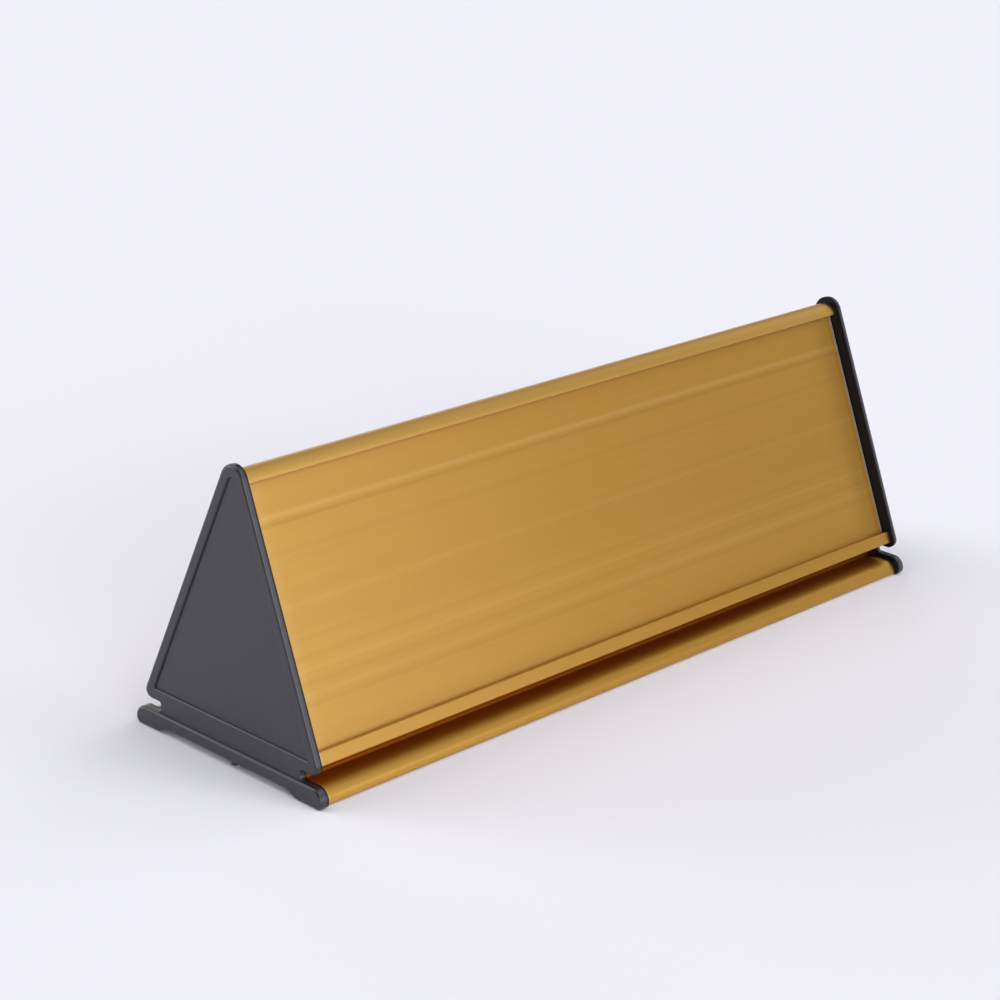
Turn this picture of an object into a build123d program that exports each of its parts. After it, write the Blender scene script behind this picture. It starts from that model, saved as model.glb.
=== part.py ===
from build123d import *
from math import cos, radians, sin, tan
import os

# Desk name plate, in millimetres: a triangular aluminium extrusion with a name insert behind the lips of
# each face and a moulded cap in each end. X runs along the length, the front face looks towards -Y and Z is
# up. The origin is on the table, under the middle.

# Extruded profile
profile_length = 196.6
face_lean = radians(23.08)
bead_height = 61.95
bead_radius = 3.0
lip_thickness = 1.7
lip_edge_radius = 0.18
lip_corner_radius = 0.25
stem_thickness = 0.8
sloped_wall = 1.2
channel_floor = 1.0
shoulder_wall = 1.2
neck_wall = 1.3
base_floor = 1.5
base_lift = 0.15
base_thickness = 3.26
base_reach = 2.02
base_top_radius = 2.5
base_bottom_radius = 0.6
slot_height = 4.67
slot_undercut = 5.71
slot_corner_radius = 0.5
hollow_corner_radius = 1.0

# Name inserts
insert_thickness = 0.4
insert_front_gap = 0.2
insert_back_gap = 0.1
insert_edge_gap = 0.2
insert_end_gap = 0.2
top_cover = 0.75
bottom_cover = 0.76

# End caps
cap_thickness = 1.6
cap_seat_gap = 0.1
cap_overhang = 0.9
cap_lower_overhang = 1.6
cap_neck_overhang = 1.5
cap_apex_radius = 3.6
cap_corner_radius = 1.9
notch_top_radius = 0.6
notch_bottom_radius = 1.2
cap_edge_radius = 0.7
rim_width = 2.4
rim_bottom_width = 2.8
panel_depth = 0.5
panel_apex_radius = 1.4
panel_corner_radius = 0.3
panel_edge_radius = 0.4
foot_proud = 0.7
foot_top_radius = 2.8
foot_bottom_radius = 1.4
foot_edge_radius = 0.6
pad_length = 6.6
pad_height = 1.65
pad_slope_length = 4.0
nub_radius = 0.85
nub_gap = 0.6
nub_forward = 1.8

# Cap plugs
plug_length = 9.0
plug_clearance = 0.2
plug_wall = 1.6
plug_top_drop = 12.0
plug_corner_radius = 1.8
plug_lead_in = 0.6
grip_rib_width = 1.2
grip_rib_clearance = 0.08
grip_rib_setback = 1.4
grip_rib_spacing = 16.0

# Heights above the table and distances from the middle that follow from those sizes
base_top = base_lift + base_thickness
underside = base_top + slot_height
hollow_floor = base_lift + base_floor
shoulder_top = underside + shoulder_wall
lip_apex = bead_height + bead_radius / sin(face_lean)
lip_corner = (lip_apex - underside) * tan(face_lean)
neck_half = lip_corner - slot_undercut
base_half = lip_corner + base_reach

# Levels square to a face, counted out from the middle of the bead
channel_front = bead_radius - lip_thickness
insert_front = channel_front - insert_front_gap
insert_back = insert_front - insert_thickness
wall_front = insert_back - insert_back_gap
wall_back = wall_front - sloped_wall

# Distances down a face, counted from the middle of the bead
channel_top = (stem_thickness / 2 - wall_front * cos(face_lean)) / sin(face_lean)
channel_bottom = (bead_height + wall_front * sin(face_lean) - underside - channel_floor) / cos(face_lean)
insert_top = channel_top + insert_edge_gap
insert_bottom = channel_bottom - insert_edge_gap
top_lip_end = insert_top + top_cover
bottom_lip_start = insert_bottom - bottom_cover

# The outline of a cap follows the profile, further out all round and most of all in the side slots
cap_apex = lip_apex + cap_overhang / sin(face_lean)
cap_underside = underside - cap_lower_overhang
cap_corner = (cap_apex - cap_underside) * tan(face_lean)
cap_neck_half = neck_half + cap_neck_overhang
foot_top = base_top + cap_overhang
foot_half = base_half + cap_overhang
flange_inner = profile_length / 2 + cap_seat_gap
flange_outer = flange_inner + cap_thickness
foot_outer = flange_outer + foot_proud


def on_front(down, out):
    """The section's point a distance down the front face and a level out from the middle of the bead."""
    y = -down * sin(face_lean) - out * cos(face_lean)
    z = bead_height - down * cos(face_lean) + out * sin(face_lean)
    return (y, z)


def strip_on_front(top, bottom, back, front):
    """A rectangle of the section that lies along the front face."""
    corners = [on_front(top, back), on_front(top, front), on_front(bottom, front), on_front(bottom, back)]
    return make_face(Polyline(*corners, close=True))


def symmetric_face(half, top=None):
    """A closed face from the (y, z, radius) corners of its left half and a corner on the middle line."""
    left = [(-y, z, radius) for y, z, radius in half]
    right = [(y, z, radius) for y, z, radius in reversed(half)]
    corners = left + right + ([(0, *top)] if top else [])
    points = [(y, z) for y, z, _ in corners]
    return make_face(FilletPolyline(*points, radius=[radius for _, _, radius in corners], close=True))


def round_corners(face, points, radius):
    """Rounds the corners of a section that lie at the given points."""
    corners = [face.vertices().sort_by_distance(Vector(*point))[0] for point in points]
    return fillet(corners, radius)


def along_length(face, start, end):
    """The solid that a section sweeps along the length."""
    return extrude(Plane.YZ.offset(start) * face, amount=end - start)


def mirrored_pair(face):
    return face + mirror(face, about=Plane.YZ)


def profile_section():
    envelope = symmetric_face(
        [
            (lip_corner, underside, lip_corner_radius),
            (neck_half, underside, slot_corner_radius),
            (neck_half, base_top, slot_corner_radius),
            (base_half, base_top, base_top_radius),
            (base_half, base_lift, base_bottom_radius),
        ],
        top=(lip_apex, bead_radius),
    )
    hollow_apex = bead_height + wall_back / sin(face_lean)
    neck_inner = neck_half - neck_wall
    hollow = symmetric_face(
        [
            ((hollow_apex - shoulder_top) * tan(face_lean), shoulder_top, hollow_corner_radius),
            (neck_inner, shoulder_top, hollow_corner_radius),
            (neck_inner, hollow_floor, hollow_corner_radius),
        ],
        top=(hollow_apex, hollow_corner_radius),
    )
    channel = strip_on_front(channel_top, channel_bottom, wall_front, channel_front)
    window = strip_on_front(top_lip_end, bottom_lip_start, wall_front, bead_radius + lip_thickness)
    section = envelope - hollow - mirrored_pair(channel + window)
    lip_edges = [on_front(top_lip_end, bead_radius), on_front(bottom_lip_start, bead_radius)]
    both_sides = lip_edges + [(-y, z) for y, z in lip_edges]
    return round_corners(section, both_sides, lip_edge_radius)


def make_profile():
    return along_length(profile_section(), -profile_length / 2, profile_length / 2)


def make_front_insert():
    half_length = profile_length / 2 - insert_end_gap
    sheet = strip_on_front(insert_top, insert_bottom, insert_back, insert_front)
    return along_length(sheet, -half_length, half_length)


def foot_corners():
    return [(foot_half, foot_top, foot_top_radius), (foot_half, 0, foot_bottom_radius)]


def cap_outline():
    upper_corners = [
        (cap_corner, cap_underside, cap_corner_radius),
        (cap_neck_half, cap_underside, notch_top_radius),
        (cap_neck_half, foot_top, notch_bottom_radius),
    ]
    return symmetric_face(upper_corners + foot_corners(), top=(cap_apex, cap_apex_radius))


def panel_outline():
    panel_apex = cap_apex - rim_width / sin(face_lean)
    panel_bottom = cap_underside + rim_bottom_width
    half_width = (panel_apex - panel_bottom) * tan(face_lean)
    corner = (half_width, panel_bottom, panel_corner_radius)
    return symmetric_face([corner], top=(panel_apex, panel_apex_radius))


def plug_outline(inset, corner_radius):
    """The plug's section, a distance inside the walls of the hollow and cut off below the bead."""
    apex = bead_height + (wall_back - inset) / sin(face_lean)
    top = bead_height - plug_top_drop - inset
    bottom = shoulder_top + inset
    corners = [(((apex - z) * tan(face_lean)), z, corner_radius) for z in (top, bottom)]
    return symmetric_face(corners)


def grip_ribs():
    """Low ribs along the plug's sloped sides, which take up its clearance in the hollow."""
    root = wall_back - plug_clearance - plug_wall / 2
    crest = wall_back - grip_rib_clearance
    middle = (bead_height - (bead_height - plug_top_drop + shoulder_top) / 2) / cos(face_lean)
    ribs = Sketch()
    for step in (-0.5, 0.5):
        start = middle + step * grip_rib_spacing - grip_rib_width / 2
        ribs += strip_on_front(start, start + grip_rib_width, root, crest)
    return mirrored_pair(ribs)


def make_plug():
    start = flange_inner - plug_length
    body = along_length(plug_outline(plug_clearance, plug_corner_radius), start, flange_inner)
    body = chamfer(body.faces().sort_by(Axis.X)[0].edges(), plug_lead_in)
    core_inset = plug_clearance + plug_wall
    core_radius = plug_corner_radius - plug_wall / 2
    core = along_length(plug_outline(core_inset, core_radius), start, flange_inner)
    return body - core + along_length(grip_ribs(), start + grip_rib_setback, flange_inner)


def make_flange():
    flange = along_length(cap_outline(), flange_inner, flange_outer)
    flange = fillet(flange.faces().sort_by(Axis.X)[-1].edges(), cap_edge_radius)
    flange -= along_length(panel_outline(), flange_outer - panel_depth, flange_outer)
    rim = flange.faces().sort_by(Axis.X)[-1]
    return fillet(rim.inner_wires()[0].edges(), panel_edge_radius)


def make_foot():
    foot = along_length(symmetric_face(foot_corners()), flange_inner, foot_outer)
    return fillet(foot.faces().sort_by(Axis.X)[-1].edges(), foot_edge_radius)


def pad_relief():
    """The space under the foot between its two pads, with sloped ends."""
    half = foot_half - pad_length
    half_top = half - pad_slope_length
    outline = Polyline((-half, 0), (half, 0), (half_top, pad_height), (-half_top, pad_height), close=True)
    return along_length(make_face(outline), flange_inner, foot_outer)


def make_right_cap():
    nub_height = pad_height - nub_gap
    nub_place = Pos((flange_inner + foot_outer) / 2, -nub_forward, pad_height - nub_height / 2)
    cap = make_flange() + make_foot() - pad_relief() + nub_place * Cylinder(nub_radius, nub_height)
    return cap + make_plug()


right_cap = make_right_cap()
front_insert = make_front_insert()
nodes = {
    "extruded_profile": make_profile(),
    "front_name_insert": front_insert,
    "rear_name_insert": mirror(front_insert, about=Plane.XZ),
    "left_end_cap": mirror(right_cap, about=Plane.YZ),
    "right_end_cap": right_cap,
}

os.makedirs("parts", exist_ok=True)
for name, solid in nodes.items():
    export_step(solid, f"parts/{name}.step")
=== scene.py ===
from math import cos, radians, sin, tan

import bpy
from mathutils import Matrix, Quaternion, Vector


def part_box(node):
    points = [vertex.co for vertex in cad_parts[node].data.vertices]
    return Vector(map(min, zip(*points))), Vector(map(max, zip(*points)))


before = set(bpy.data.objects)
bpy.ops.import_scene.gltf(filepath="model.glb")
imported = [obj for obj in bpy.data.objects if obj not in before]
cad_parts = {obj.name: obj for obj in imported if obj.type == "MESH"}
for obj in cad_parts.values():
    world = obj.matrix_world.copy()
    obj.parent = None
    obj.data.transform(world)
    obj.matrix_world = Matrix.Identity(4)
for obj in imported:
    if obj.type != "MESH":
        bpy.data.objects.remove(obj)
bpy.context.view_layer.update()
profile_low, profile_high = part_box("extruded_profile")
insert_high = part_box("front_name_insert")[1]

# Camera, in metres: where it stands and a point on its axis; then how far it is rolled, and its lens and
# sensor in millimetres
camera_place = Vector((-0.44251, -0.38736, 0.24976))
camera_aim = Vector((-0.00903, 0.00985, 0.03461))
camera_roll = radians(2.692)
camera_lens = 98.0
camera_sensor = 36.0

# Colours, linear
gold_light = (0.585, 0.310, 0.038, 1.0)
gold_deep = (0.505, 0.256, 0.027, 1.0)
gold_pale = (0.80, 0.55, 0.20, 1.0)
gold_dark = (0.30, 0.14, 0.018, 1.0)
# Painted shade in the side slots, deepest furthest in
gold_shaded = (0.40, 0.118, 0.007, 1.0)
gold_shaded_deepest = (0.31, 0.083, 0.005, 1.0)
bare_aluminium = (0.80, 0.78, 0.74, 1.0)
charcoal_light = (0.021, 0.021, 0.030, 1.0)
charcoal_deep = (0.015, 0.015, 0.021, 1.0)
# Painted shade on a cap's inner side
charcoal_shaded = (0.006, 0.006, 0.011, 1.0)
paper = (0.87, 0.865, 0.93, 1.0)

# Light: the colour and even level of the studio, and its soft lights as azimuth, elevation and reach in
# degrees with the strength in the middle; the azimuth is counted from +X towards +Y
studio_colour = (1.0, 1.0, 1.02, 1.0)
studio_level = 0.10
soft_lights = {
    "front high": (300.0, 60.0, 28.0, 2.75),
    "front right": (298.0, 12.0, 25.0, 2.9),
    "front left": (240.0, 12.0, 28.0, 4.8),
    "far right": (345.0, 12.0, 30.0, 0.8),
    "right": (0.0, 35.0, 28.0, 0.88),
    "back right": (60.0, 12.0, 28.0, 1.55),
    "back left": (120.0, 12.0, 28.0, 3.6),
    "back high": (120.0, 60.0, 28.0, 2.75),
}

# Floor: the side of its square in metres, and its surface
floor_size = 8.0
floor_roughness = 0.9
floor_gloss = 0.1

# Gold surface: its roughness and how far the lines vary it, how much they stretch a reflection, and its coat
gold_roughness = 0.42
gold_roughness_spread = 0.05
gold_stretch = 0.95
coat_weight = 0.35
coat_roughness = 0.2

# Fine lines and broader bands along the gold: features per metre along each axis, and the detail of the
# noise; then the sums of both for the deepest and the lightest gold, and the values of the lines between
# which the roughness varies
line_features = (7.0, 2600.0, 2600.0)
line_detail = 4.0
band_features = (2.2, 75.0, 75.0)
band_detail = 2.0
gold_deep_sum = 0.6
gold_light_sum = 1.4
line_low = 0.25
line_high = 0.75

# Gold along the length, in metres: the last stretch of a sawn end, which is partly bare, and how bare it
# gets; where an insert turns dull before its end and how metallic it stays; where the painted light that
# makes the left part paler ends, counted from the middle, and how much paler it is at the left end
sawn_stretch = 0.0013
sawn_bare = 0.45
dull_from = 0.0055
dull_until = 0.0020
dull_metal = 0.5
painted_light_until = 0.010
painted_light_left = 0.11

# Painted shade in the side slots, in metres: its top above the profile's underside, and how far in from the
# edge of the base it begins, is full and is deepest
slot_top = 0.00795
slot_mouth = 0.00204
slot_inside = 0.00424
slot_depth = 0.00604

# Painted sheen on the bead, in metres below its top: where it begins and is full, and how much paler it is
painted_sheen_start = 0.00545
painted_sheen_full = 0.00195
painted_sheen_paleness = 0.2

# Streaks along an insert, in metres: how far below its top edge and half the width; then how much paler or,
# if negative, how much deeper. The first is painted shade under the top lip, the second and third a painted
# reflection of the top lip as a pale band with a dark edge below it; the rest are faint lines along the sheet
sheet_streaks_and_painted_light = (
    (0.00075, 0.0007, -0.55),
    (0.00785, 0.0009, 0.20),
    (0.00935, 0.0007, -0.24),
    (0.01485, 0.0010, -0.10),
    (0.02495, 0.0008, 0.07),
    (0.03495, 0.0010, -0.12),
    (0.03725, 0.0009, 0.08),
    (0.03975, 0.0010, -0.10),
    (0.04195, 0.0009, 0.10),
    (0.04375, 0.0009, -0.12),
)

# Charcoal plastic: features per metre of its grain and its clouds, the detail of their noise, the sums of
# both for its deepest and lightest tone, its roughness at two values of the clouds, and its gloss on a cap's
# outside and inner side
grain_features = (2600.0, 2600.0, 2600.0)
cloud_features = (90.0, 90.0, 90.0)
charcoal_detail = 3.0
charcoal_deep_sum = 0.75
charcoal_light_sum = 1.25
cloud_low = 0.3
cloud_high = 0.7
charcoal_smooth = 0.33
charcoal_rough = 0.40
charcoal_gloss = 0.65
charcoal_inner_gloss = 0.18

# Painted shade on a cap's inner side, in metres beyond the profile's end: where it starts to fade and is gone
inner_side = 0.0002
outer_side = 0.0009

# Relief of the surfaces: its depth in metres, and how strong it is
relief_depth = 0.00005
gold_relief = 0.12
charcoal_relief = 0.25


def add_node(tree, kind, inputs=None, **settings):
    """A node with its settings; an input is given as a value or as the socket that feeds it."""
    node = tree.nodes.new(kind)
    for name, value in settings.items():
        setattr(node, name, value)
    for name, value in (inputs or {}).items():
        if isinstance(value, bpy.types.NodeSocket):
            tree.links.new(value, node.inputs[name])
        else:
            node.inputs[name].default_value = value
    return node


def math_node(tree, operation, first, second=0.0):
    return add_node(tree, "ShaderNodeMath", {0: first, 1: second}, operation=operation).outputs[0]


def map_range(tree, value, low, high, to_low, to_high, smooth=False):
    inputs = {"Value": value, "From Min": low, "From Max": high, "To Min": to_low, "To Max": to_high}
    kind = "SMOOTHSTEP" if smooth else "LINEAR"
    return add_node(tree, "ShaderNodeMapRange", inputs, interpolation_type=kind).outputs["Result"]


def mix_colour(tree, factor, first, second):
    node = add_node(tree, "ShaderNodeMix", data_type="RGBA")
    for socket, value in ((node.inputs[0], factor), (node.inputs[6], first), (node.inputs[7], second)):
        if isinstance(value, bpy.types.NodeSocket):
            tree.links.new(value, socket)
        else:
            socket.default_value = value
    return node.outputs[2]


def noise(tree, place, features, detail):
    """Noise with its own number of features per metre along each axis."""
    mapped = add_node(tree, "ShaderNodeMapping", {"Vector": place, "Scale": features})
    inputs = {"Vector": mapped.outputs[0], "Scale": 1.0, "Detail": detail}
    return add_node(tree, "ShaderNodeTexNoise", inputs).outputs["Fac"]


def add_relief(tree, surface, height, strength):
    inputs = {"Height": height, "Strength": strength, "Distance": relief_depth}
    tree.links.new(add_node(tree, "ShaderNodeBump", inputs).outputs[0], surface.inputs["Normal"])


def new_material(name):
    material = bpy.data.materials.new(name)
    material.use_nodes = True
    tree = material.node_tree
    place = add_node(tree, "ShaderNodeTexCoord").outputs["Object"]
    return material, tree, tree.nodes["Principled BSDF"], place


def turn_tangent(tree, surface):
    """Lines along X spread a reflection across them, so the tangent runs round the section.

    On the sawn ends, where the section's tangent is zero, a small upward part takes its place."""
    normal = add_node(tree, "ShaderNodeNewGeometry").outputs["Normal"]
    round_inputs = {0: normal, 1: (1.0, 0.0, 0.0)}
    around = add_node(tree, "ShaderNodeVectorMath", round_inputs, operation="CROSS_PRODUCT")
    sum_inputs = {0: around.outputs[0], 1: (0.0, 0.0, 0.001)}
    tangent = add_node(tree, "ShaderNodeVectorMath", sum_inputs, operation="ADD")
    tree.links.new(tangent.outputs[0], surface.inputs["Tangent"])


def anodised_gold(name, half_length):
    """Gold anodised aluminium with lines along X, a painted light that makes its left part paler, and the
    parts of it that its colour is finished with.
    """
    material, tree, surface, place = new_material(name)
    axes = add_node(tree, "ShaderNodeSeparateXYZ", {0: place}).outputs
    lines = noise(tree, place, line_features, line_detail)
    bands = noise(tree, place, band_features, band_detail)
    tone = map_range(tree, math_node(tree, "ADD", lines, bands), gold_deep_sum, gold_light_sum, 0.0, 1.0)
    colour = mix_colour(tree, tone, gold_deep, gold_light)
    # Painted light: the gold turns paler towards the left end
    pale = map_range(tree, axes["X"], -half_length, painted_light_until, painted_light_left, 0.0)
    colour = mix_colour(tree, pale, colour, gold_pale)

    smoothest = gold_roughness - gold_roughness_spread
    roughest = gold_roughness + gold_roughness_spread
    rough = map_range(tree, lines, line_low, line_high, smoothest, roughest)
    tree.links.new(rough, surface.inputs["Roughness"])
    add_relief(tree, surface, lines, gold_relief)
    turn_tangent(tree, surface)
    surface.inputs["Metallic"].default_value = 1.0
    surface.inputs["Anisotropic"].default_value = gold_stretch
    surface.inputs["Coat Weight"].default_value = coat_weight
    surface.inputs["Coat Roughness"].default_value = coat_roughness
    return material, tree, surface, axes, colour


def bare_ends(tree, surface, along, half_length, colour):
    """Gives the surface its colour, partly bare where the gold was sawn off at its ends."""
    sawn = map_range(tree, along, half_length - sawn_stretch, half_length, 0.0, sawn_bare, smooth=True)
    tree.links.new(mix_colour(tree, sawn, colour, bare_aluminium), surface.inputs["Base Color"])


def profile_gold():
    """Gold of the extrusion, with painted shade and without its coat in the side slots, and a painted sheen
    that makes the bead's upper part paler.
    """
    half_length = profile_high.x
    material, tree, surface, axes, colour = anodised_gold("gold_profile", half_length)
    # Painted shade in the side slots: the gold turns darker inwards and loses its coat there
    aside = math_node(tree, "ABSOLUTE", axes["Y"])
    below = math_node(tree, "LESS_THAN", axes["Z"], profile_low.z + slot_top)
    mouth = profile_high.y - slot_mouth
    inside = profile_high.y - slot_inside
    depth = profile_high.y - slot_depth
    shade = map_range(tree, aside, mouth, inside, 0.0, 1.0, smooth=True)
    shade = math_node(tree, "MULTIPLY", shade, below)
    colour = mix_colour(tree, shade, colour, gold_shaded)
    deepest_shade = map_range(tree, aside, inside, depth, 0.0, 1.0, smooth=True)
    colour = mix_colour(tree, math_node(tree, "MULTIPLY", deepest_shade, below), colour, gold_shaded_deepest)
    tree.links.new(map_range(tree, shade, 0.0, 1.0, coat_weight, 0.0), surface.inputs["Coat Weight"])

    # Painted sheen: the bead's upper part turns paler
    sheen_low = profile_high.z - painted_sheen_start
    sheen_high = profile_high.z - painted_sheen_full
    sheen = map_range(tree, axes["Z"], sheen_low, sheen_high, 0.0, painted_sheen_paleness, smooth=True)
    colour = mix_colour(tree, sheen, colour, gold_pale)
    bare_ends(tree, surface, math_node(tree, "ABSOLUTE", axes["X"]), half_length, colour)
    return material


def sheet_gold():
    """Gold of the name inserts, streaked along the length, with painted shade under the top lip and a painted
    reflection of it, and duller towards the ends.
    """
    half_length = insert_high.x
    material, tree, surface, axes, colour = anodised_gold("gold_sheet", half_length)
    along = math_node(tree, "ABSOLUTE", axes["X"])
    bright_end = half_length - dull_from
    dull_end = half_length - dull_until
    metal = map_range(tree, along, bright_end, dull_end, 1.0, dull_metal, smooth=True)
    tree.links.new(metal, surface.inputs["Metallic"])

    # The first streak is painted shade under the top lip, the next two a painted reflection of the lip
    for drop, half_width, change in sheet_streaks_and_painted_light:
        off = math_node(tree, "SUBTRACT", axes["Z"], insert_high.z - drop)
        off = math_node(tree, "ABSOLUTE", off)
        mark = map_range(tree, off, 0.0, half_width, abs(change), 0.0, smooth=True)
        colour = mix_colour(tree, mark, colour, gold_pale if change > 0 else gold_dark)
    bare_ends(tree, surface, along, half_length, colour)
    return material


def moulded_charcoal():
    """Charcoal plastic with the fine even texture of its mould, with painted shade and less gloss on a cap's
    inner side.
    """
    material, tree, surface, place = new_material("charcoal_plastic")
    grain = noise(tree, place, grain_features, charcoal_detail)
    cloud = noise(tree, place, cloud_features, charcoal_detail)
    both = math_node(tree, "ADD", grain, cloud)
    tone = map_range(tree, both, charcoal_deep_sum, charcoal_light_sum, 0.0, 1.0)
    colour = mix_colour(tree, tone, charcoal_deep, charcoal_light)

    x = add_node(tree, "ShaderNodeSeparateXYZ", {0: place}).outputs["X"]
    # Painted shade on a cap's inner side, which is also less glossy there
    beyond = math_node(tree, "SUBTRACT", math_node(tree, "ABSOLUTE", x), profile_high.x)
    shade = map_range(tree, beyond, inner_side, outer_side, 1.0, 0.0, smooth=True)
    gloss = map_range(tree, shade, 0.0, 1.0, charcoal_gloss, charcoal_inner_gloss)
    rough = map_range(tree, cloud, cloud_low, cloud_high, charcoal_smooth, charcoal_rough)
    tree.links.new(mix_colour(tree, shade, colour, charcoal_shaded), surface.inputs["Base Color"])
    tree.links.new(gloss, surface.inputs["Specular IOR Level"])
    tree.links.new(rough, surface.inputs["Roughness"])
    add_relief(tree, surface, grain, charcoal_relief)
    return material


def dress(node, material):
    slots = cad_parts[node].data.materials
    slots.clear()
    slots.append(material)


def add_floor():
    bpy.ops.mesh.primitive_plane_add(size=floor_size, location=(0.0, 0.0, 0.0))
    floor = bpy.context.object
    floor.name = "floor"
    material = bpy.data.materials.new("paper_floor")
    material.use_nodes = True
    surface = material.node_tree.nodes["Principled BSDF"]
    surface.inputs["Base Color"].default_value = paper
    surface.inputs["Roughness"].default_value = floor_roughness
    surface.inputs["Specular IOR Level"].default_value = floor_gloss
    floor.data.materials.append(material)


def add_world():
    """An even studio with soft lights, each brightest in its middle and fading out to its reach."""
    world = bpy.data.worlds.new("studio")
    world.use_nodes = True
    tree = world.node_tree
    background = tree.nodes["Background"]
    direction = add_node(tree, "ShaderNodeTexCoord").outputs["Generated"]
    level = studio_level
    for azimuth, elevation, reach, strength in soft_lights.values():
        turn = radians(azimuth)
        towards = Vector((cos(turn), sin(turn), tan(radians(elevation)))).normalized()
        dot = add_node(tree, "ShaderNodeVectorMath", {0: direction, 1: towards}, operation="DOT_PRODUCT")
        glow = map_range(tree, dot.outputs["Value"], cos(radians(reach)), 1.0, 0.0, strength, smooth=True)
        level = math_node(tree, "ADD", glow, level)
    background.inputs["Color"].default_value = studio_colour
    tree.links.new(level, background.inputs["Strength"])
    bpy.context.scene.world = world


def add_camera():
    data = bpy.data.cameras.new("camera")
    data.sensor_width = camera_sensor
    data.lens = camera_lens
    camera = bpy.data.objects.new("camera", data)
    camera.location = camera_place
    camera.rotation_mode = "QUATERNION"
    straight = (camera_aim - camera_place).to_track_quat("-Z", "Y")
    camera.rotation_quaternion = straight @ Quaternion((0.0, 0.0, 1.0), camera_roll)
    bpy.context.scene.collection.objects.link(camera)
    bpy.context.scene.camera = camera


dress("extruded_profile", profile_gold())
sheet = sheet_gold()
dress("front_name_insert", sheet)
dress("rear_name_insert", sheet)
charcoal = moulded_charcoal()
dress("left_end_cap", charcoal)
dress("right_end_cap", charcoal)

add_floor()
add_world()
add_camera()
bpy.context.scene.view_settings.view_transform = "Standard"
